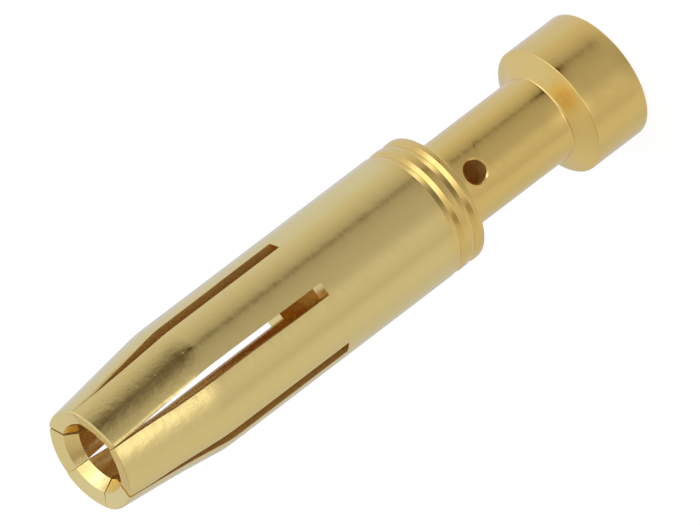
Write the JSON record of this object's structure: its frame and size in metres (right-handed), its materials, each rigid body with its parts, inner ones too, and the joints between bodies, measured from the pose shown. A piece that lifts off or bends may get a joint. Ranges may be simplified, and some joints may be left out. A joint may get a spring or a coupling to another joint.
{
  "type": "crimp socket contact",
  "caption": "Turned gold-plated crimp socket contact: slotted spring socket with inward-bent tines, ring-grooved body, narrow retention neck with inspection hole, and a collared crimp barrel.",
  "frame": {"origin": "centre of the collar's rear face, on the contact's axis", "axes": "+Z along the axis from the collar's rear face to the socket's mouth; the inspection hole and one slot face -Y"},
  "size_m": [0.0046, 0.0046, 0.0228],
  "materials": {
    "gold_plate": "satin gold plating on a turned copper alloy"
  },
  "bodies": {
    "root": {"socket_contact": "gold_plate"}
  },
  "joints": []
}
